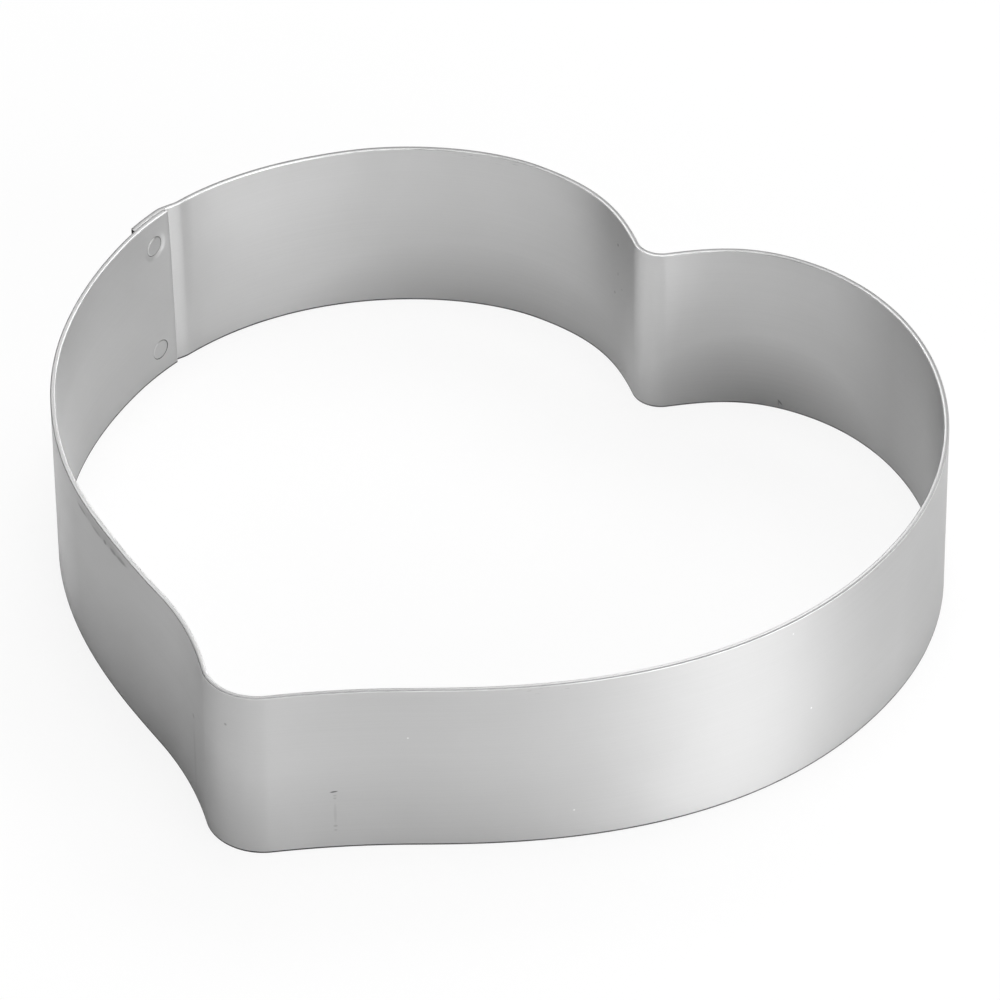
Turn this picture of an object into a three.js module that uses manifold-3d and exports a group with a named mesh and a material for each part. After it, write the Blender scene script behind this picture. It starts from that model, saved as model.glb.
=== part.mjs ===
// Heart cake ring: one aluminium strip bent on edge into a heart. Its two ends are lapped on the
// left lobe, the outer one set out by a joggle, and two rivets set flush on both faces close the lap.
// Millimetres, +Z up. The origin is the middle of the heart on the surface it stands on;
// the tip points to -Y, the notch to +Y and the lap lies on the -X side.

import * as THREE from 'three';
import { mergeVertices } from 'three/addons/utils/BufferGeometryUtils.js';
import Module from 'manifold-3d';

// The heart, measured over the outer face of the wall
const overallWidth = 203;
const overallLength = 192;
const tipRadius = 13;
const tipShift = 1.8;
const notchRadius = 5.6;
const notchDepth = 15;
const notchShift = 3.1;

// Each half from its tip to the notch. It is bent by hand, so the two differ a little: turns are in
// degrees, places are measured from the middle of the heart, and a pull is how far the curve runs on
// in its own direction from a place before it bends away.
const rightHalf = {
  tipTurn: 39.5,
  hollowRadius: 200,
  hollowTurn: 8.5,
  flankPull: 21,
  underWidestPull: 59.5,
  widestY: 22,
  overWidestPull: 40.5,
  outsideCrownPull: 32.5,
  crownX: 38.8,
  crownDrop: 0,
  insideCrownPull: 15.3,
  notchPull: 12,
  notchTurn: 42,
};
const leftHalf = {
  tipTurn: 45.5,
  hollowRadius: 88,
  hollowTurn: 18,
  flankPull: 25,
  underWidestPull: 62.5,
  widestY: 22,
  overWidestPull: 48,
  outsideCrownPull: 25.5,
  crownX: 34.7,
  crownDrop: 0.3,
  insideCrownPull: 15.5,
  notchPull: 13.3,
  notchTurn: 42.5,
};

// The strip
const bandHeight = 44.5;
const bandThickness = 1.2;
const edgeEase = 0.25;

// The lapped seam, measured along the wall
const seamFromTip = 173;
const lapLength = 10;
const lapGap = 0.1;
const joggleLength = 3.6;

// The rivets, flared into countersinks at both ends
const rivetFaceDiameter = 4.8;
const rivetShankDiameter = 3.4;
const rivetFlareDepth = 0.6;
const rivetEdgeDistance = 7.2;
const rivetClearance = 0.15;

// How finely curves become facets
const outlineSamples = 700;
const walkStep = 0.2;
const facetTurn = THREE.MathUtils.degToRad(3);
const facetRun = 5;
const endFacet = 4 * edgeEase;
const rivetSides = 32;

const satinAluminium = new THREE.MeshStandardMaterial({ color: 0xc6c7c8, roughness: 0.38, metalness: 1 });
const rivetAluminium = new THREE.MeshStandardMaterial({ color: 0xbdbebf, roughness: 0.42, metalness: 1 });

// A point reached from another by running a distance along a direction given as an angle
function along(from, angle, distance) {
  return new THREE.Vector2(Math.cos(angle), Math.sin(angle)).multiplyScalar(distance).add(from);
}

// The outer face of one half from the tip to the notch, with x measured outwards from the middle
function halfOutline(half, side) {
  const down = -Math.PI / 2;
  const up = Math.PI / 2;
  const tipTurn = THREE.MathUtils.degToRad(half.tipTurn);
  const flankTurn = tipTurn - THREE.MathUtils.degToRad(half.hollowTurn);
  const notchTurn = THREE.MathUtils.degToRad(half.notchTurn);

  const tipCentre = new THREE.Vector2(side * tipShift, tipRadius - overallLength / 2);
  const hollowCentre = along(tipCentre, down + tipTurn, tipRadius + half.hollowRadius);
  const flank = along(hollowCentre, up + flankTurn, half.hollowRadius);
  const widest = new THREE.Vector2(overallWidth / 2, half.widestY);
  const crown = new THREE.Vector2(half.crownX, overallLength / 2 - half.crownDrop);
  const notchCentre = new THREE.Vector2(side * notchShift, overallLength / 2 - notchDepth + notchRadius);
  const notchStart = along(notchCentre, down + notchTurn, notchRadius);

  const flankHandle = along(flank, flankTurn, half.flankPull);
  const notchHandle = along(notchStart, notchTurn, half.notchPull);

  const path = new THREE.Path();
  path.absarc(tipCentre.x, tipCentre.y, tipRadius, down, down + tipTurn, false);
  path.absarc(hollowCentre.x, hollowCentre.y, half.hollowRadius, up + tipTurn, up + flankTurn, true);
  path.bezierCurveTo(
    flankHandle.x, flankHandle.y,
    widest.x, widest.y - half.underWidestPull,
    widest.x, widest.y,
  );
  path.bezierCurveTo(
    widest.x, widest.y + half.overWidestPull,
    crown.x + half.outsideCrownPull, crown.y,
    crown.x, crown.y,
  );
  path.bezierCurveTo(
    crown.x - half.insideCrownPull, crown.y,
    notchHandle.x, notchHandle.y,
    notchStart.x, notchStart.y,
  );
  path.absarc(notchCentre.x, notchCentre.y, notchRadius, down + notchTurn, down, true);
  return path.getSpacedPoints(outlineSamples);
}

// The whole outer face as one curve: from the tip up the right half, and down the left half back to it
function heartOutline() {
  const right = halfOutline(rightHalf, 1);
  const left = halfOutline(leftHalf, -1).map((point) => new THREE.Vector2(-point.x, point.y));
  const points = right.concat(left.reverse().slice(1));
  const outline = new THREE.SplineCurve(points);
  outline.arcLengthDivisions = 2 * points.length;
  return outline;
}

const outline = heartOutline();
const perimeter = outline.getLength();
const stripLength = perimeter + lapLength;
const innerEndAt = perimeter - seamFromTip - lapLength;
const lapOffset = bandThickness + lapGap;

// A place on the heart's outer face and the direction straight out of it
function outerFaceAt(distance) {
  const u = (distance % perimeter) / perimeter;
  const tangent = outline.getTangentAt(u);
  return { point: outline.getPointAt(u), outward: new THREE.Vector2(tangent.y, -tangent.x) };
}

// The strip's middle line, by the run from its inner end: once round the heart, out through the
// joggle at the close of the round, and on over the inner end as the outer layer of the lap
function middleLineAt(run) {
  const { point, outward } = outerFaceAt(innerEndAt + run);
  const setOut = lapOffset * THREE.MathUtils.smoothstep(run, perimeter - joggleLength, perimeter);
  return point.addScaledVector(outward, setOut - bandThickness / 2);
}

// Stations on the middle line, one wherever it has turned by facetTurn or run on by facetRun,
// with none so near an end that the eased corners there would meet
function bandStations() {
  const steps = Math.round(stripLength / walkStep);
  const walk = [];
  for (let i = 0; i <= steps; i++) {
    walk.push(middleLineAt((i / steps) * stripLength));
  }
  const stations = [];
  let turned = 0;
  let ranOn = 0;
  for (let i = 0; i <= steps; i++) {
    const ahead = walk[Math.min(i + 1, steps)].clone().sub(walk[Math.min(i, steps - 1)]);
    const behind = walk[Math.max(i, 1)].clone().sub(walk[Math.max(i - 1, 0)]);
    turned += behind.cross(ahead) / (behind.length() * ahead.length());
    ranOn += behind.length();
    const isEnd = i === 0 || i === steps;
    const isClear = Math.min(i, steps - i) * walkStep > endFacet;
    const isDue = Math.abs(turned) >= facetTurn || ranOn >= facetRun;
    if (isEnd || (isClear && isDue)) {
      const direction = ahead.add(behind).normalize();
      stations.push({ point: walk[i], outward: new THREE.Vector2(direction.y, -direction.x) });
      turned = 0;
      ranOn = 0;
    }
  }
  return stations;
}

// The strip as it lies on the table: its outer face one way and its inner face back
function bandGeometry() {
  const faceOf = (station, offset) => station.point.clone().addScaledVector(station.outward, offset);
  const stations = bandStations();
  const outerFace = stations.map((station) => faceOf(station, bandThickness / 2));
  const innerFace = stations.map((station) => faceOf(station, -bandThickness / 2));
  const plan = new THREE.Shape(outerFace.concat(innerFace.reverse()));
  const geometry = new THREE.ExtrudeGeometry(plan, {
    depth: bandHeight - 2 * edgeEase,
    bevelEnabled: true,
    bevelThickness: edgeEase,
    bevelSize: edgeEase,
    bevelOffset: -edgeEase,
    bevelSegments: 1,
  });
  return geometry.translate(0, 0, edgeEase);
}

// A rivet standing on its inner face along +Y, grown all round by a clearance and run past its faces
function rivetGeometry(clearance, overrun) {
  const length = 2 * bandThickness + lapGap;
  const face = rivetFaceDiameter / 2 + clearance;
  const shank = rivetShankDiameter / 2 + clearance;
  const profile = [
    new THREE.Vector2(0, -overrun),
    new THREE.Vector2(face, -overrun),
    new THREE.Vector2(face, 0),
    new THREE.Vector2(shank, rivetFlareDepth),
    new THREE.Vector2(shank, length - rivetFlareDepth),
    new THREE.Vector2(face, length),
    new THREE.Vector2(face, length + overrun),
    new THREE.Vector2(0, length + overrun),
  ];
  const distinct = profile.filter((point, i) => i === 0 || !point.equals(profile[i - 1]));
  return new THREE.LatheGeometry(distinct, rivetSides);
}

// A rivet's place: in the middle of the lap, on the wall's inner face, pointing straight out
function seatRivet(object, height) {
  const { point, outward } = outerFaceAt(innerEndAt + lapLength / 2);
  const seat = point.addScaledVector(outward, -bandThickness);
  object.position.set(seat.x, seat.y, height);
  object.quaternion.setFromUnitVectors(
    new THREE.Vector3(0, 1, 0),
    new THREE.Vector3(outward.x, outward.y, 0),
  );
  object.updateMatrix();
  return object;
}

const wasm = await Module();
wasm.setup();

function solidOf(geometry) {
  const bare = geometry.clone();
  bare.deleteAttribute('normal');
  bare.deleteAttribute('uv');
  const merged = mergeVertices(bare);
  const mesh = new wasm.Mesh({
    numProp: 3,
    vertProperties: new Float32Array(merged.attributes.position.array),
    triVerts: new Uint32Array(merged.index.array),
  });
  return new wasm.Manifold(mesh);
}

function geometryOf(solid) {
  const mesh = solid.getMesh();
  const geometry = new THREE.BufferGeometry();
  geometry.setAttribute('position', new THREE.BufferAttribute(mesh.vertProperties, 3));
  geometry.setIndex(new THREE.BufferAttribute(mesh.triVerts, 1));
  geometry.computeVertexNormals();
  return geometry;
}

// The band with its rivet holes
function heartBand(rivetHeights) {
  let band = solidOf(bandGeometry());
  for (const height of rivetHeights) {
    const hole = new THREE.Object3D();
    seatRivet(hole, height);
    band = band.subtract(solidOf(rivetGeometry(rivetClearance, bandThickness).applyMatrix4(hole.matrix)));
  }
  const mesh = new THREE.Mesh(geometryOf(band), satinAluminium);
  mesh.name = 'heart_band';
  return mesh;
}

function rivet(name, height) {
  const mesh = new THREE.Mesh(rivetGeometry(0, 0), rivetAluminium);
  mesh.name = name;
  return seatRivet(mesh, height);
}

const lowerRivetHeight = rivetEdgeDistance;
const upperRivetHeight = bandHeight - rivetEdgeDistance;

const cakeRing = new THREE.Group();
cakeRing.add(heartBand([lowerRivetHeight, upperRivetHeight]));
cakeRing.add(rivet('upper_rivet', upperRivetHeight));
cakeRing.add(rivet('lower_rivet', lowerRivetHeight));

export default cakeRing;
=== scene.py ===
import bmesh
import bpy
import math
import numpy as np
from mathutils import Matrix, Vector


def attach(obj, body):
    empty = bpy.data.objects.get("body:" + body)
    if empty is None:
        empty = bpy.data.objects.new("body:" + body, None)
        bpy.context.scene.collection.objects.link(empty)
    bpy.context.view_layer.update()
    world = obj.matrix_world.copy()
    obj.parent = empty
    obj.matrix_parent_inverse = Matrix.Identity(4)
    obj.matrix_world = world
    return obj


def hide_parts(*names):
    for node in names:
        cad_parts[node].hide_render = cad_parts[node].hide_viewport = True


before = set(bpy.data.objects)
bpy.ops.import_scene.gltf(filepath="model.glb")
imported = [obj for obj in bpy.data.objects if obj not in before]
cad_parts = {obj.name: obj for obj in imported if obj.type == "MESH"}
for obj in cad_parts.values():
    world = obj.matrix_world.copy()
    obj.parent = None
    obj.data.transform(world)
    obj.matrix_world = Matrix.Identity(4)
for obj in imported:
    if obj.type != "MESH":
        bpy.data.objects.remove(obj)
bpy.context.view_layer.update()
bpy.context.scene.view_settings.view_transform = "Standard"
print("frame loaded:", ", ".join(sorted(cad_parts)))

mm = 0.001

# heart outline, measured over the wall's outer face; turns in degrees, the two halves are bent by hand
heart = dict(
    width=203 * mm,
    length=192 * mm,
    tipRadius=13 * mm,
    tipShift=1.8 * mm,
    notchRadius=5.6 * mm,
    notchDepth=15 * mm,
    notchShift=3.1 * mm,
    right=dict(
        tipTurn=39.5,
        hollowRadius=200 * mm,
        hollowTurn=8.5,
        flankPull=21 * mm,
        underWidestPull=59.5 * mm,
        widestY=22 * mm,
        overWidestPull=40.5 * mm,
        outsideCrownPull=32.5 * mm,
        crownX=38.8 * mm,
        crownDrop=0,
        insideCrownPull=15.3 * mm,
        notchPull=12 * mm,
        notchTurn=42,
    ),
    left=dict(
        tipTurn=45.5,
        hollowRadius=88 * mm,
        hollowTurn=18,
        flankPull=25 * mm,
        underWidestPull=62.5 * mm,
        widestY=22 * mm,
        overWidestPull=48 * mm,
        outsideCrownPull=25.5 * mm,
        crownX=34.7 * mm,
        crownDrop=0.3 * mm,
        insideCrownPull=15.5 * mm,
        notchPull=13.3 * mm,
        notchTurn=42.5,
    ),
    curveSteps=400,  # points on each arc or curve before they are spaced evenly
    spacing=0.1 * mm,
    leastStep=1e-9,  # points closer than this are one and the same
)


def reach(start, angle, distance):
    turn = math.radians(angle)
    return start + distance * np.array([math.cos(turn), math.sin(turn)])


def arcPoints(centre, radius, start, end):
    turn = np.radians(np.linspace(start, end, heart["curveSteps"]))
    return centre + radius * np.stack([np.cos(turn), np.sin(turn)], axis=1)


def curvePoints(start, startHandle, endHandle, end):
    t = np.linspace(0, 1, heart["curveSteps"])[:, None]
    outer = start * (1 - t) ** 3 + end * t ** 3
    return outer + 3 * t * (1 - t) * (startHandle * (1 - t) + endHandle * t)


# one half from the tip to the notch, x outwards; side is 1 on the right and -1 on the left
def halfOutline(half, side):
    width, length = heart["width"], heart["length"]
    flankTurn = half["tipTurn"] - half["hollowTurn"]
    tipCentre = np.array([side * heart["tipShift"], heart["tipRadius"] - length / 2])
    hollowReach = heart["tipRadius"] + half["hollowRadius"]
    hollowCentre = reach(tipCentre, half["tipTurn"] - 90, hollowReach)
    flank = reach(hollowCentre, flankTurn + 90, half["hollowRadius"])
    widest = np.array([width / 2, half["widestY"]])
    crown = np.array([half["crownX"], length / 2 - half["crownDrop"]])
    notchY = length / 2 - heart["notchDepth"] + heart["notchRadius"]
    notchCentre = np.array([side * heart["notchShift"], notchY])
    notchStart = reach(notchCentre, half["notchTurn"] - 90, heart["notchRadius"])
    stretches = [
        arcPoints(tipCentre, heart["tipRadius"], -90, half["tipTurn"] - 90),
        arcPoints(hollowCentre, half["hollowRadius"], half["tipTurn"] + 90, flankTurn + 90),
        curvePoints(
            flank,
            reach(flank, flankTurn, half["flankPull"]),
            widest - [0, half["underWidestPull"]],
            widest,
        ),
        curvePoints(
            widest,
            widest + [0, half["overWidestPull"]],
            crown + [half["outsideCrownPull"], 0],
            crown,
        ),
        curvePoints(
            crown,
            crown - [half["insideCrownPull"], 0],
            reach(notchStart, half["notchTurn"], half["notchPull"]),
            notchStart,
        ),
        arcPoints(notchCentre, heart["notchRadius"], half["notchTurn"] - 90, -90),
    ]
    return np.concatenate(stretches)


# the closed outline, evenly spaced: up the right half from the tip, down the left half back to it
def heartOutline():
    right = halfOutline(heart["right"], 1)
    left = halfOutline(heart["left"], -1) * [-1, 1]
    points = np.concatenate([right, left[::-1]])
    steps = np.hypot(*np.diff(points, axis=0).T)
    points = points[np.append(True, steps > heart["leastStep"])]
    travelled = np.append(0, np.cumsum(np.hypot(*np.diff(points, axis=0).T)))
    count = round(travelled[-1] / heart["spacing"])
    even = np.linspace(0, travelled[-1], count + 1)
    return even, np.stack([np.interp(even, travelled, points[:, axis]) for axis in (0, 1)], axis=1)


# the bent strip and its lapped seam on the left lobe
strip = dict(
    height=44.5 * mm,
    thickness=1.2 * mm,
    edgeRound=0.22 * mm,
    endRound=0.18 * mm,
    lapRound=0.05 * mm,  # on the corners hidden inside the lap
    leastRound=0.02 * mm,
    roundSteps=4,
    # the darkening of the foot is painted contact shadow
    footHeight=0.5 * mm,  # the darkened foot of the wall
    seamFromTip=173 * mm,
    lapLength=10 * mm,
    lapGap=0.04 * mm,
    joggle=(-4.6 * mm, 1.2 * mm),  # where it starts and ends, from the start of the lap
    joggleBends=(0.36, 0.16),  # shares of the joggle taken by its first bend and its last
    innerReach=0.45 * mm,  # how far the inner end runs on towards the joggle
    innerSkew=0.3 * mm,  # and how much more of that at its foot than at its top
    innerBevel=0.38 * mm,  # taken off its hidden side, where it sits on the joggle
    # where bending left the rim sprung out or in: place from the tip, reach each way, and how far
    leans=[
        dict(fromTip=444 * mm, before=28 * mm, after=50 * mm, out=0.76 * mm),
        dict(fromTip=547 * mm, before=30 * mm, after=28 * mm, out=0.42 * mm),
        dict(fromTip=603 * mm, before=18 * mm, after=22 * mm, out=-0.36 * mm),
        dict(fromTip=406 * mm, before=16 * mm, after=16 * mm, out=-0.24 * mm),
    ],
    stationTurn=1.2,  # a row of points at least every so many degrees
    stationRun=3 * mm,  # or so far along
    lapEndSteps=3,  # between rows of points, from the rivets' squares to the end of the lap
    middleSteps=7,  # and from the lower squares up to the upper ones
    supportShare=0.25,  # of a rounded edge, to the row that keeps the face beside it flat
    sharpAngle=50,  # degrees; edges that turn more are drawn sharp
)

rivets = dict(
    faceRadius=2.4 * mm,
    shankRadius=1.7 * mm,
    flareDepth=0.6 * mm,
    edgeDistance=7.2 * mm,
    clearance=0.08 * mm,
    lipRound=0.08 * mm,
    headRound=0.22 * mm,
    roundAngles=(0, 30, 60, 90),
    headDish=0.02 * mm,
    headShares=(0.25, 0.5, 0.75, 0.85),  # rings of points across a head
    sides=48,
    padHalf=4.2 * mm,  # half the square of sheet that is gridded round each hole
    padCells=14,
    padRings=10,
    padCrowding=1.6,  # how much closer the rings lie towards the hole
    upperTilt=-0.05,  # slope of the upper one's inner head, which was driven askew
    upperDish=dict(depth=0.22 * mm, width=1.4 * mm, towards=(-0.6, -0.8)),  # in the sheet beside it
)

outlineRun, outlinePoints = heartOutline()
perimeter = outlineRun[-1]
stripLength = perimeter + strip["lapLength"]
innerEndAt = perimeter - strip["seamFromTip"] - strip["lapLength"]
lapOffset = strip["thickness"] + strip["lapGap"]
rivetHeights = dict(lower=rivets["edgeDistance"], upper=strip["height"] - rivets["edgeDistance"])
print(f"heart outline: {perimeter / mm:.1f} mm round")


# a straight ramp from 0 to 1 with a rounded bend at each end
def bentRamp(value, low, high, firstBend, lastBend):
    t = np.clip((value - low) / (high - low), 0, 1)
    slope = 1 / (1 - (firstBend + lastBend) / 2)
    entry = slope * t ** 2 / (2 * firstBend)
    leaving = 1 - slope * (1 - t) ** 2 / (2 * lastBend)
    straight = slope * (t - firstBend / 2)
    return np.where(t < firstBend, entry, np.where(t > 1 - lastBend, leaving, straight))


def outwardOf(points):
    ahead = np.gradient(points, axis=0)
    ahead /= np.hypot(*ahead.T)[:, None]
    return np.stack([ahead[:, 1], -ahead[:, 0]], axis=1)


# the strip's middle line from its inner end, once round, out through the joggle and over the lap
def walkStrip():
    closed = np.concatenate([outlinePoints[-3:-1], outlinePoints, outlinePoints[1:3]])
    outward = outwardOf(closed)[2:-2]
    run = np.arange(-strip["lapLength"] / 2, stripLength + heart["spacing"], heart["spacing"])
    along = (innerEndAt + run) % perimeter
    at = np.stack([np.interp(along, outlineRun, outlinePoints[:, axis]) for axis in (0, 1)], axis=1)
    out = np.stack([np.interp(along, outlineRun, outward[:, axis]) for axis in (0, 1)], axis=1)
    joggleStart, joggleEnd = (perimeter + place for place in strip["joggle"])
    setOut = lapOffset * bentRamp(run, joggleStart, joggleEnd, *strip["joggleBends"])
    middle = at + out * (setOut - strip["thickness"] / 2)[:, None]
    return run, middle, outwardOf(middle), out


walkRun, walkMiddle, walkOutward, walkLean = walkStrip()  # the last is the way in which the wall leans


# how far the wall leans outwards, nothing at its foot and most at its rim
def leanAt(run, height):
    atRim = np.zeros(np.shape(run))
    for lean in strip["leans"]:
        fromMiddle = (innerEndAt + run - lean["fromTip"] + perimeter / 2) % perimeter - perimeter / 2
        share = fromMiddle / np.where(fromMiddle < 0, lean["before"], lean["after"])
        atRim += lean["out"] * np.cos(np.clip(share, -1, 1) * math.pi / 2) ** 2
    return atRim * (height / strip["height"]) ** 2


# places on the strip: a run along it, an offset outwards from its middle and a height
def onStrip(run, offset, height):
    run, offset, height = np.broadcast_arrays(run, offset, height)
    lean = leanAt(run, height)
    flat = [
        np.interp(run, walkRun, walkMiddle[:, axis])
        + offset * np.interp(run, walkRun, walkOutward[:, axis])
        + lean * np.interp(run, walkRun, walkLean[:, axis])
        for axis in (0, 1)
    ]
    return np.stack([*flat, height], axis=-1)


# runs at which the strip gets a row of points, closest where it bends most
def bandRuns():
    lap, pad = strip["lapLength"], rivets["padHalf"]
    padRuns = np.linspace(lap / 2 - pad, lap / 2 + pad, rivets["padCells"] + 1)
    easing = strip["endRound"] * (1 - np.cos(np.linspace(0, math.pi / 2, strip["roundSteps"] + 1)))
    lapEnd = np.linspace(padRuns[-1], lap, strip["lapEndSteps"] + 1)
    lapRuns = np.concatenate([easing, padRuns, lapEnd[1:]])
    turn = np.abs(np.diff(np.unwrap(np.arctan2(walkOutward[:, 1], walkOutward[:, 0])), prepend=0))
    turn[0] = 0
    middle = []
    turned, last = 0, lap
    for run, step in zip(walkRun, turn):
        if run <= lap or run >= perimeter:
            continue
        turned += math.degrees(step)
        if turned >= strip["stationTurn"] or run - last >= strip["stationRun"]:
            middle.append(run)
            turned, last = 0, run
    if perimeter - middle[-1] < strip["endRound"]:
        middle.pop()
    return np.concatenate([lapRuns, middle, stripLength - lapRuns[::-1]])


# heights of the rows of points on the wall's two faces
def faceHeights():
    low, high = strip["edgeRound"], strip["height"] - strip["edgeRound"]
    support = strip["edgeRound"] * strip["supportShare"]
    pad = rivets["padHalf"]
    pads = [
        np.linspace(height - pad, height + pad, rivets["padCells"] + 1)
        for height in (rivetHeights["lower"], rivetHeights["upper"])
    ]
    between = np.linspace(pads[0][-1], pads[1][0], strip["middleSteps"] + 1)[1:-1]
    foot = [low, low + support, strip["footHeight"]]
    rim = [high - strip["edgeRound"], high - support, high]
    return np.concatenate([foot, pads[0], between, pads[1], rim])


# one turn round the strip's section: offsets and heights, for a section drawn in by an inset;
# the side that the lap hides, 1 for outer or -1 for inner, has tight corners
def sectionPoints(heights, inset, hidden=0):
    half = strip["thickness"] / 2 - inset
    quarter = np.linspace(0, 90, strip["roundSteps"] + 1)
    corners = []
    for start, side, onTop in ((270, 1, False), (0, 1, True), (90, -1, True), (180, -1, False)):
        rounding = strip["lapRound"] if side == hidden else strip["edgeRound"]
        radius = max(rounding - inset, strip["leastRound"])
        x = side * (half - radius)
        y = strip["height"] - inset - radius if onTop else inset + radius
        turn = np.radians(start + quarter)
        corners.append(np.stack([x + radius * np.cos(turn), y + radius * np.sin(turn)], axis=1))
    outer = np.stack([np.full(len(heights), half), heights], axis=1)
    inner = outer[::-1] * [-1, 1]
    loop = [corners[0][:-1], outer, corners[1][1:], corners[2][:-1], inner, corners[3][1:]]
    return np.concatenate(loop)


# which finish each side of the section has: the two faces, their foot, the rounded corners
# or the sheared top
def sectionFinishes(section):
    half = strip["thickness"] / 2
    ahead = np.roll(section, -1, axis=0)
    onFace = np.isclose(np.abs(section[:, 0]), half) & np.isclose(np.abs(ahead[:, 0]), half)
    onFlat = ~onFace & np.isclose(section[:, 1], ahead[:, 1])
    onFoot = np.maximum(section[:, 1], ahead[:, 1]) < strip["footHeight"] + strip["leastRound"]
    edge = np.where(onFlat, "sheared", "corner")
    return np.where(onFoot, "foot", np.where(onFace, "wall", edge))


class Sheet:
    finishNames = ["wall", "corner", "sheared", "foot", "dark"]

    def __init__(self):
        self.points = []
        self.places = []  # run along the strip and length round its section, for the texture map
        self.faces = []
        self.finishes = []

    def add(self, points, places):
        first = len(self.points)
        self.points.extend(map(tuple, points))
        self.places.extend(map(tuple, places))
        return list(range(first, len(self.points)))

    def face(self, corners, finish):
        self.faces.append(corners)
        self.finishes.append(self.finishNames.index(finish))

    def bridge(self, near, far, finish):
        for m in range(len(near)):
            n = (m + 1) % len(near)
            self.face((near[m], far[m], far[n], near[n]), finish)


def nearest(values, wanted):
    return int(np.argmin(np.abs(values - wanted)))


# a quarter round, as how far sideways and how deep it is at each angle
def quarterRound(radius, angles):
    return [(radius * (1 - math.sin(a)), radius * (1 - math.cos(a))) for a in np.radians(angles)]


# how far the sheet round a rivet is pushed outwards
def dishAt(name, layer, across, up):
    if (name, layer["name"]) != ("upper", "inner"):
        return np.zeros(np.shape(across))
    dish = rivets["upperDish"]
    apart = np.hypot(across, up)
    rim = rivets["faceRadius"] + rivets["clearance"] + rivets["lipRound"]
    fall = np.cos(np.clip((apart - rim) / dish["width"], 0, 1) * math.pi / 2) ** 2
    facing = (across * dish["towards"][0] + up * dish["towards"][1]) / apart
    return dish["depth"] * fall * (0.5 + 0.5 * facing)


# the square of sheet round one hole on one face, gridded from the hole's rim out to the square's edge
def holePad(sheet, rows, runs, heights, layer, name, face, rimRadius):
    centreRun, centreHeight = layer["centre"], rivetHeights[name]
    first, last = layer["stations"]
    low = nearest(heights, centreHeight - rivets["padHalf"])
    high = low + rivets["padCells"]
    border = [(i, low) for i in range(first, last)]
    border += [(last, j) for j in range(low, high)]
    border += [(i, high) for i in range(last, first, -1)]
    border += [(first, j) for j in range(high, low, -1)]
    square = np.array([(runs[i] - centreRun, heights[j] - centreHeight) for i, j in border])
    turn = np.arctan2(square[:, 1], square[:, 0])
    rim = rimRadius * np.stack([np.cos(turn), np.sin(turn)], axis=1)
    ringShares = np.linspace(0, 1, rivets["padRings"] + 1)[:-1] ** rivets["padCrowding"]
    rings = []
    for share in ringShares:
        at = rim + (square - rim) * share
        out = face["offset"] + dishAt(name, layer, at[:, 0], at[:, 1])
        points = onStrip(centreRun + at[:, 0], out, centreHeight + at[:, 1])
        places = [(centreRun + a, face["place"](centreHeight + b)) for a, b in at]
        rings.append(sheet.add(points, places))
    rings.append([rows[i][face["line"](j)] for i, j in border])
    for near, far in zip(rings, rings[1:]):
        sheet.bridge(near, far, "wall")
    return rings[0], turn


# a countersunk hole's wall, from the rim on the face that shows down to the face inside the lap
def holeWall(sheet, layer, name, face, showing, hidden, turn):
    sign = math.copysign(1, face["offset"])
    rim = rivets["faceRadius"] + rivets["clearance"]
    shank = rivets["shankRadius"] + rivets["clearance"]
    lip = quarterRound(rivets["lipRound"], rivets["roundAngles"][1:])
    steps = [(rim + sideways, depth) for sideways, depth in lip]
    steps.append((shank, rivets["flareDepth"]))
    rings = [showing]
    for radius, depth in steps:
        across, up = radius * np.cos(turn), radius * np.sin(turn)
        points = onStrip(
            layer["centre"] + across,
            face["offset"] - sign * depth + dishAt(name, layer, across, up),
            rivetHeights[name] + up,
        )
        lengths = face["place"](rivetHeights[name] + up)
        rings.append(sheet.add(points, zip(layer["centre"] + across, lengths)))
    rings.append(hidden)
    for near, far in zip(rings, rings[1:]):
        # the hole's wall below the first part of its lip takes the foot's dark finish, painted shade
        # down in the hole
        sheet.bridge(near, far, "sheared" if near is showing else "foot")


# a finished mesh as an object, smooth but for its sharp edges
def addPiece(name, mesh):
    mesh.shade_smooth()
    mesh.set_sharp_from_angle(angle=math.radians(strip["sharpAngle"]))
    piece = bpy.data.objects.new(name, mesh)
    bpy.context.scene.collection.objects.link(piece)
    return piece


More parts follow.
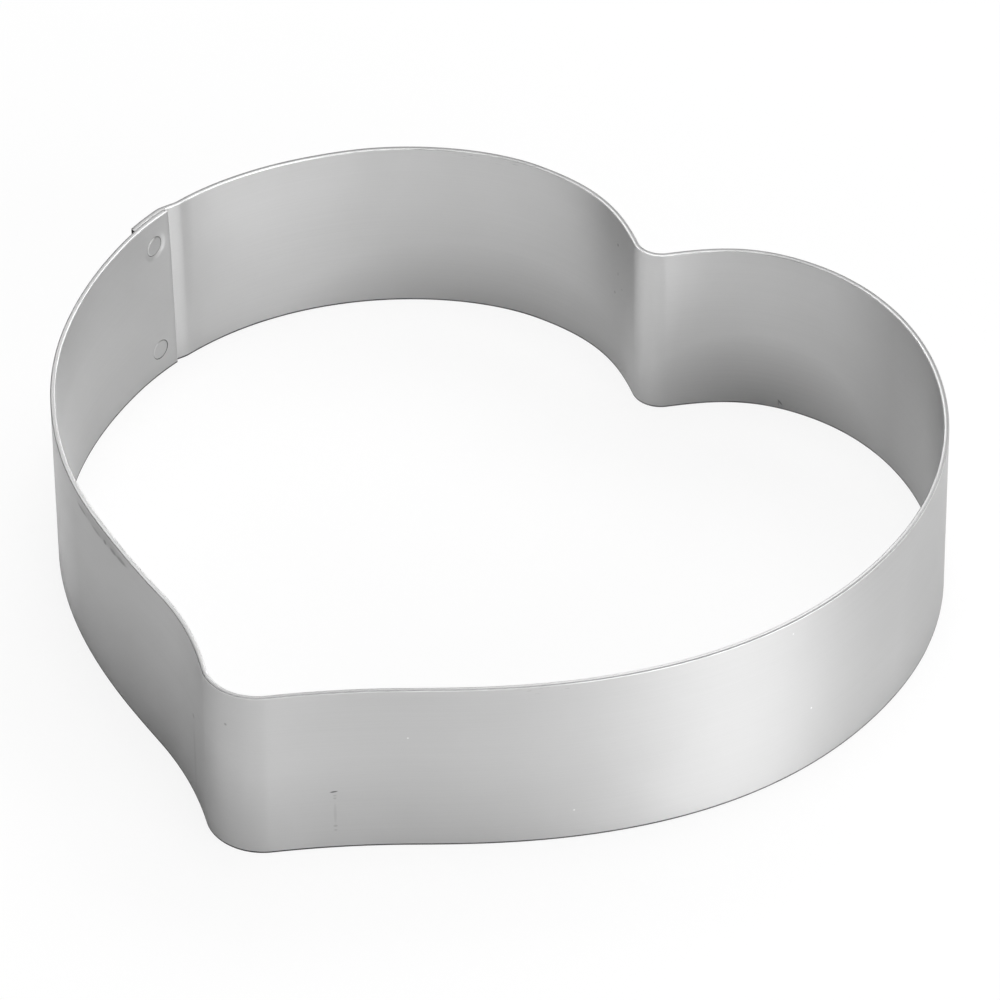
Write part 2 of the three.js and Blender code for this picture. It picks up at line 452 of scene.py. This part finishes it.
def buildBand():
    runs, heights = bandRuns(), faceHeights()
    sheet = Sheet()
    plain = sectionPoints(heights, 0)
    lengths = np.append(0, np.cumsum(np.hypot(*np.diff(plain, axis=0).T)))
    loop = len(plain)
    rows = []
    for run in runs:
        nearEnd = min(run, stripLength - run) / strip["endRound"]
        inset = strip["endRound"] * (1 - math.sin(math.acos(max(0, 1 - nearEnd))))
        hidden = int(run <= strip["lapLength"]) - int(run >= perimeter)
        section = sectionPoints(heights, inset, hidden)
        at, offset = run, section[:, 0]
        if run <= strip["endRound"]:
            at = run - strip["innerReach"] - strip["innerSkew"] * (0.5 - section[:, 1] / strip["height"])
            offset = np.where(offset > 0, offset - strip["innerBevel"], offset)
        points = onStrip(at, offset, section[:, 1])
        rows.append(sheet.add(points, [(run, length) for length in lengths]))

    # the lines of points up each face, counted round the section, and a height as the length round it
    def outerLine(j):
        return strip["roundSteps"] + j

    def innerLine(j):
        return loop - 1 - outerLine(j)

    def outerPlace(height):
        return lengths[outerLine(0)] + height - heights[0]

    def innerPlace(height):
        return lengths[innerLine(0)] - height + heights[0]

    half = strip["thickness"] / 2
    faces = dict(
        outer=dict(line=outerLine, place=outerPlace, offset=half),
        inner=dict(line=innerLine, place=innerPlace, offset=-half),
    )
    cells = rivets["padCells"]
    layers = []
    for layerName, start in (("inner", 0), ("outer", perimeter)):
        centre = start + strip["lapLength"] / 2
        first = nearest(runs, centre - rivets["padHalf"])
        layers.append(dict(name=layerName, centre=centre, stations=(first, first + cells)))
    skipped = set()
    for layer in layers:
        for height in rivetHeights.values():
            low = nearest(heights, height - rivets["padHalf"])
            for i in range(*layer["stations"]):
                for j in range(low, low + cells):
                    skipped.update([(i, outerLine(j)), (i, innerLine(j + 1))])

    finishes = sectionFinishes(plain)
    for i in range(len(runs) - 1):
        isEnd = min(i, len(runs) - 2 - i) < strip["roundSteps"]
        for j in range(loop):
            if (i, j) not in skipped:
                k = (j + 1) % loop
                corners = (rows[i][j], rows[i + 1][j], rows[i + 1][k], rows[i][k])
                sheet.face(corners, "corner" if isEnd else finishes[j])
    # the inner end is sheared metal; the outer end's face gets painted shade
    for row, finish in ((rows[0], "sheared"), (rows[-1], "dark")):
        for j in range(loop // 2 - 1):
            sheet.face((row[j], row[j + 1], row[loop - 2 - j], row[loop - 1 - j]), finish)

    # each layer of the lap shows the face of its own name and hides the other
    showRim = rivets["faceRadius"] + rivets["clearance"] + rivets["lipRound"]
    hideRim = rivets["shankRadius"] + rivets["clearance"]
    for layer in layers:
        for name in rivetHeights:
            rims = {}
            for faceName, face in faces.items():
                radius = showRim if faceName == layer["name"] else hideRim
                rims[faceName], turn = holePad(sheet, rows, runs, heights, layer, name, face, radius)
            showing = rims.pop(layer["name"])
            hidden = rims.popitem()[1]
            holeWall(sheet, layer, name, faces[layer["name"]], showing, hidden, turn)

    mesh = bpy.data.meshes.new("heart_band_sheet")
    mesh.from_pydata(sheet.points, [], sheet.faces)
    mesh.polygons.foreach_set("material_index", sheet.finishes)
    shell = bmesh.new()
    shell.from_mesh(mesh)
    bmesh.ops.recalc_face_normals(shell, faces=shell.faces)
    shell.to_mesh(mesh)
    shell.free()
    stripMap = mesh.uv_layers.new(name="stripMap")
    for corner in mesh.loops:
        stripMap.data[corner.index].uv = sheet.places[corner.vertex_index]
    return addPiece("heart_band_sheet", mesh)


# a rivet through both layers, flared flush into its countersinks at both ends
def buildRivet(name):
    length = 2 * strip["thickness"] + strip["lapGap"]
    face, dish, sides = rivets["faceRadius"], rivets["headDish"], rivets["sides"]
    tilt = rivets["upperTilt"] if name == "upper" else 0
    head = [(share * face, dish * (1 - share ** 2)) for share in rivets["headShares"]]
    edge = quarterRound(rivets["headRound"], rivets["roundAngles"])
    head += [(face - sideways, depth) for sideways, depth in edge]
    profile = head + [(rivets["shankRadius"], rivets["flareDepth"])]
    profile += [(radius, length - depth) for radius, depth in reversed(profile)]
    build = bmesh.new()
    stripMap = build.loops.layers.uv.new("stripMap")

    # the inner head leans with the rivet, the outer one is level
    def headPoint(radius, turn, depth, leans):
        x, y = radius * math.cos(turn), radius * math.sin(turn)
        return (x, y, depth + leans * tilt * (x + y) / math.sqrt(2))

    turns = [2 * math.pi * k / sides for k in range(sides)]
    rings = []
    for n, (radius, depth) in enumerate(profile):
        leans = n < len(head)
        rings.append([build.verts.new(headPoint(radius, turn, depth, leans)) for turn in turns])
    for near, far in zip(rings, rings[1:]):
        for k in range(sides):
            build.faces.new((near[k], near[(k + 1) % sides], far[(k + 1) % sides], far[k]))
    for ring, depth in ((rings[0], dish), (rings[-1], length - dish)):
        middle = build.verts.new((0, 0, depth))
        for k in range(sides):
            build.faces.new((middle, ring[k], ring[(k + 1) % sides]))
    bmesh.ops.recalc_face_normals(build, faces=build.faces)
    for meshFace in build.faces:
        for corner in meshFace.loops:
            corner[stripMap].uv = corner.vert.co.x, rivetHeights[name] + corner.vert.co.y

    # seated on the inner face in the middle of the lap, square to the leaning wall
    run, half, height = strip["lapLength"] / 2, strip["thickness"] / 2, rivetHeights[name]
    inner = onStrip(run, -half, height)
    outer = onStrip(run, half, height)
    above = onStrip(run, -half, height + mm)
    up = Vector(above - inner).normalized()
    across = up.cross(Vector(outer - inner)).normalized()
    seat = Matrix((across, up, across.cross(up))).transposed().to_4x4()
    seat.translation = Vector(inner)
    build.transform(seat)
    mesh = bpy.data.meshes.new(name + "_rivet_set")
    build.to_mesh(mesh)
    build.free()
    return addPiece(name + "_rivet_set", mesh)


# rolled satin metal: its fine grain runs along the strip and smears every lamp upwards
satin = dict(
    colour=(0.605, 0.635),  # darkest and palest
    roughness=(0.52, 0.58),
    anisotropy=0.7,
    mottle=(22, 30),  # how many of each to the metre, along the strip and up it
    grain=(16, 2600),
    grainDepth=0.0004 * mm,
    streaks=(1100, 14),
    streakDepth=0.0011 * mm,
    waves=(30, 12),
    waveDepth=0.03 * mm,
    noiseSpan=(0.3, 0.7),  # the part of a noise's range that colour and roughness spread over
    scuffs=(330, 2300),
    scuffSpan=(0.62, 0.68),
    scuffGroups=(34, 0),
    scuffGroupSpan=(0.52, 0.6),
    scuffTone=0.8,
    scuffBand=(42.2 * mm, 44.1 * mm),
    scuffFade=(1 * mm, 0.2 * mm),  # at the lower side of the band and at the upper
)

# broad patches of painted light and painted shade, darker mostly at the wall's foot and over parts of
# its highlights, lighter mostly
# up the inner walls: place from the tip and height, half sizes, both in millimetres, and tone
paintedLightAndShade = dict(
    outer=[
        dict(at=(38, 0), half=(60, 26), tone=0.88),
        dict(at=(110, 0), half=(24, 26), tone=1.08),
        dict(at=(197, 0), half=(36, 65), tone=0.75),
        dict(at=(530, 22), half=(20, 70), tone=1.33),
        dict(at=(592, 0), half=(52, 36), tone=0.73),
        dict(at=(580, 45), half=(44, 36), tone=0.94),
        dict(at=(617, 42), half=(17, 60), tone=0.86),
    ],
    inner=[
        dict(at=(284, 0), half=(32, 21), tone=0.6),
        dict(at=(315, 0), half=(9, 30), tone=1.1),
        dict(at=(366, 0), half=(50, 18), tone=0.78),
        dict(at=(422, 50), half=(38, 48), tone=0.78),
        dict(at=(443, 50), half=(5, 50), tone=0.88),
        dict(at=(485, 0), half=(36, 26), tone=0.86),
        dict(at=(340, 45), half=(140, 60), tone=1.12),
        dict(at=(228, 30), half=(18, 70), tone=1.17),
        dict(at=(315, 45), half=(13, 50), tone=1.14),
        dict(at=(468, 50), half=(28, 50), tone=1.15),
    ],
)

# small marks seen in the photograph, given in the same way, some with a tilt in degrees
marks = dict(
    outer=[
        dict(at=(22.6, 16.3), half=(1.05, 0.26), tilt=8, tone=0.28),
        dict(at=(22.8, 15.2), half=(0.5, 0.3), tone=0.84),
        dict(at=(22.8, 14.4), half=(0.45, 0.3), tone=0.8),
        dict(at=(22.8, 10.0), half=(0.4, 3.6), tone=0.91),
        dict(at=(22.8, 6.4), half=(0.55, 0.4), tone=0.8),
        dict(at=(22.8, 5.2), half=(0.45, 0.3), tone=0.84),
        dict(at=(609.9, 23.8), half=(0.8, 0.7), tone=0.77),
        dict(at=(610.0, 12.0), half=(0.9, 11.0), tone=0.92),
        dict(at=(628.0, 35.5), half=(0.42, 0.42), tone=0.68),
        dict(at=(565.0, 42.7), half=(15.0, 1.8), tone=0.82),
        dict(at=(555.5, 41.8), half=(3.2, 0.6), tone=0.67),
        dict(at=(563.3, 41.5), half=(2.8, 0.5), tone=0.75),
        dict(at=(567.8, 41.7), half=(0.9, 0.7), tone=0.62),
        dict(at=(571.8, 41.9), half=(1.8, 0.7), tone=0.65),
        dict(at=(575.6, 42.1), half=(2.8, 0.7), tilt=3, tone=0.66),
        dict(at=(131.8, 16.8), half=(0.25, 0.32), tone=1.45),
        dict(at=(126.2, 41.2), half=(0.22, 0.28), tone=1.3),
        dict(at=(74.5, 8.0), half=(0.26, 0.28), tone=1.4),
        dict(at=(38.8, 31.1), half=(0.26, 0.28), tone=1.37),
    ],
    inner=[
        dict(at=(324.5, 36.9), half=(0.35, 0.5), tone=0.56),
        dict(at=(324.5, 28.4), half=(0.25, 0.6), tone=0.72),
        dict(at=(326.1, 22.0), half=(0.3, 0.5), tone=0.65),
        dict(at=(322.3, 25.3), half=(0.3, 0.3), tone=0.72),
        dict(at=(279.3, 2.0), half=(0.3, 1.1), tilt=40, tone=0.5),
        dict(at=(279.7, 1.7), half=(0.25, 0.9), tone=0.72),
    ],
)


class Finish:
    def __init__(self, name):
        self.material = bpy.data.materials.new(name)
        self.material.use_nodes = True
        self.nodes = self.material.node_tree.nodes
        self.links = self.material.node_tree.links
        self.shader = self.nodes["Principled BSDF"]

    # a link where the value comes out of another node, or else a fixed value
    def feed(self, socket, value):
        if hasattr(value, "is_output"):
            self.links.new(value, socket)
        else:
            socket.default_value = value

    def node(self, kind, **sockets):
        made = self.nodes.new("ShaderNode" + kind)
        for socket, value in sockets.items():
            self.feed(made.inputs[socket], value)
        return made

    def put(self, socket, value):
        self.feed(self.shader.inputs[socket], value)

    def stripPlace(self):
        made = self.nodes.new("ShaderNodeUVMap")
        made.uv_map = "stripMap"
        return made.outputs["UV"]

    def objectPlace(self):
        return self.nodes.new("ShaderNodeTexCoord").outputs["Object"]

    def noise(self, place, counts, detail=2):
        scale = (*counts, 1)[:3]
        spread = self.node("Mapping", Vector=place, Scale=scale).outputs["Vector"]
        return self.node("TexNoise", Vector=spread, Scale=1, Detail=detail).outputs["Fac"]

    def ranged(self, value, fromLow, fromHigh, toLow, toHigh):
        limits = {"From Min": fromLow, "From Max": fromHigh, "To Min": toLow, "To Max": toHigh}
        return self.node("MapRange", Value=value, **limits).outputs["Result"]

    def maths(self, operation, first, second):
        made = self.nodes.new("ShaderNodeMath")
        made.operation = operation
        self.feed(made.inputs[0], first)
        self.feed(made.inputs[1], second)
        return made.outputs["Value"]

    def times(self, first, second):
        return self.maths("MULTIPLY", first, second)

    def blend(self, share, base, other):
        return self.node("Mix", Factor=share, A=base, B=other).outputs["Result"]

    def bump(self, height, depth, under=None):
        made = self.node("Bump", Height=height, Distance=depth, Strength=1)
        if under:
            self.links.new(under, made.inputs["Normal"])
        return made.outputs["Normal"]

    # a brushed surface, smearing lamps along the strip or, turned by a quarter, across it
    def brush(self, anisotropy, turn):
        self.put("Anisotropic", anisotropy)
        self.put("Anisotropic Rotation", turn)
        tangent = self.nodes.new("ShaderNodeTangent")
        tangent.direction_type = "UV_MAP"
        tangent.uv_map = "stripMap"
        self.put("Tangent", tangent.outputs["Tangent"])

    # a soft-edged oval on the strip, solid out to a share of its size
    def spot(self, place, side, at, half, tilt=0, solid=0.5):
        turned = self.nodes.new("ShaderNodeMapping")
        turned.vector_type = "TEXTURE"
        self.links.new(place, turned.inputs["Vector"])
        turned.inputs["Location"].default_value = (*markPlace(side, at), 0)
        turned.inputs["Rotation"].default_value = (0, 0, math.radians(tilt))
        turned.inputs["Scale"].default_value = (half[0] * mm, half[1] * mm, 1)
        away = self.nodes.new("ShaderNodeVectorMath")
        away.operation = "LENGTH"
        self.links.new(turned.outputs["Vector"], away.inputs[0])
        return self.ranged(away.outputs["Value"], solid, 1, 1, 0)

    # a shade made duller or brighter within such an oval
    def toned(self, shade, place, side, tone, **oval):
        spot = self.spot(place, side, **oval)
        return self.blend(spot, shade, self.times(shade, tone))


# a place on the strip's map, from its distance round from the tip and its height in millimetres
def markPlace(side, at):
    run = (at[0] * mm - innerEndAt) % perimeter
    corner = strip["edgeRound"] * math.pi / 2
    face = strip["height"] - 2 * strip["edgeRound"]
    fromFoot = at[1] * mm - strip["edgeRound"]
    flat = strip["thickness"] - 2 * strip["edgeRound"]
    if side == "outer":
        return run, corner + fromFoot
    return run, 3 * corner + 2 * face + flat - fromFoot


def satinMetal(name, marked):
    finish = Finish(name)
    place = finish.stripPlace()
    grain = finish.noise(place, satin["grain"])
    streaks = finish.noise(place, satin["streaks"])
    waves = finish.noise(place, satin["waves"], detail=1)
    mottle = finish.noise(place, satin["mottle"])
    shade = finish.ranged(mottle, *satin["noiseSpan"], *satin["colour"])
    if marked:
        height = finish.node("SeparateXYZ", Vector=finish.objectPlace()).outputs["Z"]
        low, high = satin["scuffBand"]
        lowFade, highFade = satin["scuffFade"]
        within = finish.times(
            finish.ranged(height, low, low + lowFade, 0, 1),
            finish.ranged(height, high, high + highFade, 1, 0),
        )
        groups = finish.ranged(finish.noise(place, satin["scuffGroups"]), *satin["scuffGroupSpan"], 0, 1)
        dashes = finish.ranged(finish.noise(place, satin["scuffs"]), *satin["scuffSpan"], 0, 1)
        scuffed = finish.times(finish.times(within, groups), dashes)
        shade = finish.blend(scuffed, shade, finish.times(shade, satin["scuffTone"]))
        for side in ("outer", "inner"):
            # the broad patches of painted light and painted shade first, then the small marks
            for patch in paintedLightAndShade[side]:
                shade = finish.toned(shade, place, side, solid=0, **patch)
            for mark in marks[side]:
                shade = finish.toned(shade, place, side, **mark)
    finish.put("Base Color", shade)
    finish.put("Metallic", 1)
    finish.put("Roughness", finish.ranged(grain, *satin["noiseSpan"], *satin["roughness"]))
    finish.brush(satin["anisotropy"], turn=0.25)
    normal = finish.bump(waves, satin["waveDepth"])
    normal = finish.bump(streaks, satin["streakDepth"], normal)
    finish.put("Normal", finish.bump(grain, satin["grainDepth"], normal))
    return finish.material


# the strip's cut edges: corners brushed smooth, flats left rough by the shears, both with a painted dark
# line of shade along their outer side and painted highlights and shade along the rim; a foot painted
# dark with contact shadow, darker at the front and left and paler towards the back and right where the
# lamps fall; and an end painted dark with shadow
edges = dict(
    corner=dict(
        colour=(0.7, 0.95),
        roughness=(0.35, 0.38),
        counts=(90, 90, 90),
        depth=0.0002 * mm,
        line=0.4,
        brushed=0.9,
    ),
    sheared=dict(
        colour=(0.5, 0.56),
        roughness=(0.55, 0.65),
        counts=(6000, 6000, 6000),
        depth=0.001 * mm,
        line=0.4,
    ),
    # the foot's dark colour is painted contact shadow, made darker towards the front and left and paler
    # towards the back and right
    foot=dict(
        colour=(0.1, 0.17),
        roughness=(0.5, 0.6),
        counts=(160, 160, 600),
        depth=0.002 * mm,
        paintedSideShade=dict(turn=-45, tones=(0.35, 2)),
    ),
    # the outer end's face, painted almost black with the shade at the lap's end
    dark=dict(
        colour=(0.05, 0.1),
        roughness=(0.6, 0.75),
        counts=(700, 700, 1200),
        depth=0.01 * mm,
    ),
)
wornSpan = (0.35, 0.65)  # the part of the wear's range that colour and roughness spread over
# a painted dark line of shade along the outer side of the rim's top, for the dark reflection in its far
# corner
paintedShadeLine = dict(before=0.1 * mm, after=0.2 * mm, fade=0.08 * mm)  # from where the top flat starts

# stretches of the rim with painted highlights and painted shade, given as for the patches; heights run
# on over the rim
paintedRimLightAndShade = [
    dict(at=(19.6, 44.44), half=(60, 0.95), tone=0.83),
    dict(at=(117, 44.7), half=(70, 0.25), tone=0.65),
    dict(at=(117, 45.32), half=(70, 0.45), tone=1.35),
    dict(at=(568, 44.3), half=(45, 0.3), tone=0.57),
    dict(at=(568, 44.68), half=(45, 0.3), tone=1.6),
    dict(at=(505, 44.68), half=(40, 0.3), tone=1.4),
    dict(at=(240, 44.9), half=(80, 0.35), tone=0.7),
    dict(at=(370, 44.9), half=(100, 0.35), tone=0.7),
    dict(at=(218, 45.4), half=(50, 0.4), tone=1.4),
    dict(at=(282, 45.56), half=(32, 0.4), tone=0.65),
    dict(at=(322, 45.45), half=(18, 0.4), tone=1.45),
    dict(at=(370, 45.56), half=(36, 0.4), tone=0.65),
]


def edgeMetal(name, colour, roughness, counts, depth, line=None, brushed=0, paintedSideShade=None):
    finish = Finish(name)
    place = finish.objectPlace()
    worn = finish.noise(place, counts, detail=3)
    shade = finish.ranged(worn, *wornSpan, *colour)
    # painted shade on the foot: darker to the front and left, paler to the back and right
    if paintedSideShade:
        turned = finish.node("Mapping", Vector=place, Rotation=(0, 0, math.radians(paintedSideShade["turn"])))
        across = finish.node("SeparateXYZ", Vector=turned.outputs["Vector"]).outputs["X"]
        half = heart["width"] / 2
        shade = finish.times(shade, finish.ranged(across, -half, half, *paintedSideShade["tones"]))
    # the painted dark line of shade along the rim's outer side, then the rim's painted highlights and
    # shade
    if line:
        onMap = finish.stripPlace()
        around = finish.node("SeparateXYZ", Vector=onMap).outputs["Y"]
        flatStart = strip["height"] - 2 * strip["edgeRound"] + math.pi * strip["edgeRound"]
        low, high = flatStart - paintedShadeLine["before"], flatStart + paintedShadeLine["after"]
        within = finish.times(
            finish.ranged(around, low - paintedShadeLine["fade"], low, 0, 1),
            finish.ranged(around, high, high + paintedShadeLine["fade"], 1, 0),
        )
        shade = finish.blend(within, shade, line)
        # painted highlights and painted shade along the rim
        for mark in paintedRimLightAndShade:
            shade = finish.toned(shade, onMap, "outer", **mark)
    finish.put("Base Color", shade)
    finish.put("Metallic", 1)
    finish.put("Roughness", finish.ranged(worn, *wornSpan, *reversed(roughness)))
    finish.put("Normal", finish.bump(worn, depth))
    if brushed:
        finish.brush(brushed, turn=0)
    return finish.material


band = buildBand()
band.data.materials.append(satinMetal("satinStrip", True))
for edgeName, edgeSizes in edges.items():
    band.data.materials.append(edgeMetal(edgeName + "Edge", **edgeSizes))
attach(band, "root")
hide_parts("heart_band")
print("band:", len(band.data.polygons), "faces")

rivetSatin = satinMetal("satinRivet", False)
for rivetName in rivetHeights:
    rivet = buildRivet(rivetName)
    rivet.data.materials.append(rivetSatin)
    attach(rivet, "root")
    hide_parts(rivetName + "_rivet")
print("rivets set")

# a plain pale floor that looks whiter than it is lit, to the camera most, and keeps the ring's shadow
floorSheet = dict(
    half=8,  # metres
    drop=0.05 * mm,
    colour=(0.95, 0.95, 0.95, 1),
    whiteToCamera=0.86,
    whiteInMetal=0.03,
)


def addFloor():
    half = floorSheet["half"]
    mesh = bpy.data.meshes.new("floor")
    corners = [(-half, -half), (half, -half), (half, half), (-half, half)]
    mesh.from_pydata([(x, y, -floorSheet["drop"]) for x, y in corners], [], [(0, 1, 2, 3)])
    floor = bpy.data.objects.new("floor", mesh)
    bpy.context.scene.collection.objects.link(floor)
    finish = Finish("paleFloor")
    finish.put("Base Color", floorSheet["colour"])
    finish.put("Roughness", 1)
    finish.put("Specular IOR Level", 0)
    rays = finish.nodes.new("ShaderNodeLightPath")
    share = finish.times(rays.outputs["Is Camera Ray"], floorSheet["whiteToCamera"])
    for ray in ("Is Glossy Ray", "Is Transmission Ray"):
        inMetal = finish.times(rays.outputs[ray], floorSheet["whiteInMetal"])
        share = finish.maths("ADD", share, inMetal)
    white = finish.node("Emission", Color=(1, 1, 1, 1), Strength=1)
    mixed = finish.node("MixShader", Fac=share)
    finish.links.new(finish.shader.outputs["BSDF"], mixed.inputs[1])
    finish.links.new(white.outputs["Emission"], mixed.inputs[2])
    finish.links.new(mixed.outputs["Shader"], finish.nodes["Material Output"].inputs["Surface"])
    mesh.materials.append(finish.material)


addFloor()

# soft boxes round the ring, all facing its middle; azimuth 0 is in front of the tip, 90 on the right
lampDistance = 2.5  # metres, as are the boxes' sizes
softBoxes = dict(
    keyBox=dict(azimuth=75, elevation=18, width=2.3, height=1.25, watts=30),
    lowBox=dict(azimuth=83, elevation=8, width=1.8, height=0.6, watts=13.8),
    frontBox=dict(azimuth=15, elevation=18, width=2.3, height=1.25, watts=12),
    leftBox=dict(azimuth=-30, elevation=18, width=1.25, height=1.25, watts=6),
    backBox=dict(azimuth=183, elevation=50, width=2.7, height=1.25, watts=38.5),
    topBox=dict(azimuth=0, elevation=89.9, width=1.25, height=1.25, watts=26.5),
)
roomGlow = 0.04


# the direction from the ring towards an azimuth and an elevation in degrees
def bearing(azimuth, elevation):
    a, e = math.radians(azimuth), math.radians(elevation)
    return Vector((math.sin(a) * math.cos(e), -math.cos(a) * math.cos(e), math.sin(e)))


def addSoftBox(name, azimuth, elevation, width, height, watts):
    back = bearing(azimuth, elevation)
    data = bpy.data.lights.new(name, "AREA")
    data.shape = "RECTANGLE"
    data.size = width
    data.size_y = height
    data.energy = watts
    lamp = bpy.data.objects.new(name, data)
    lamp.location = back * lampDistance
    lamp.rotation_mode = "QUATERNION"
    lamp.rotation_quaternion = (-back).to_track_quat("-Z", "Y")
    lamp.visible_camera = False
    bpy.context.scene.collection.objects.link(lamp)


for boxName, boxSizes in softBoxes.items():
    addSoftBox(boxName, **boxSizes)

world = bpy.data.worlds.new("studio")
bpy.context.scene.world = world
world.use_nodes = True
room = world.node_tree.nodes["Background"]
room.inputs["Color"].default_value = (1, 1, 1, 1)
room.inputs["Strength"].default_value = roomGlow
print("lamps:", ", ".join(softBoxes))

# camera at the photograph's angle
view = dict(
    azimuth=31.336,
    elevation=40.127,
    roll=-0.588,
    distance=1.7932,
    aim=(5.266 * mm, 10.986 * mm, 22.25 * mm),
    lens=289.0,
    sensor=36,
)


def addCamera():
    azimuth, roll = math.radians(view["azimuth"]), math.radians(view["roll"])
    back = bearing(view["azimuth"], view["elevation"])
    right = Vector((math.cos(azimuth), math.sin(azimuth), 0))
    up = back.cross(right)
    tiltedRight = right * math.cos(roll) + up * math.sin(roll)
    tiltedUp = up * math.cos(roll) - right * math.sin(roll)
    data = bpy.data.cameras.new("photoCamera")
    data.lens = view["lens"]
    data.sensor_width = view["sensor"]
    camera = bpy.data.objects.new("photoCamera", data)
    pose = Matrix((tiltedRight, tiltedUp, back)).transposed().to_4x4()
    pose.translation = Vector(view["aim"]) + back * view["distance"]
    camera.matrix_world = pose
    bpy.context.scene.collection.objects.link(camera)
    bpy.context.scene.camera = camera


addCamera()
print("camera set")
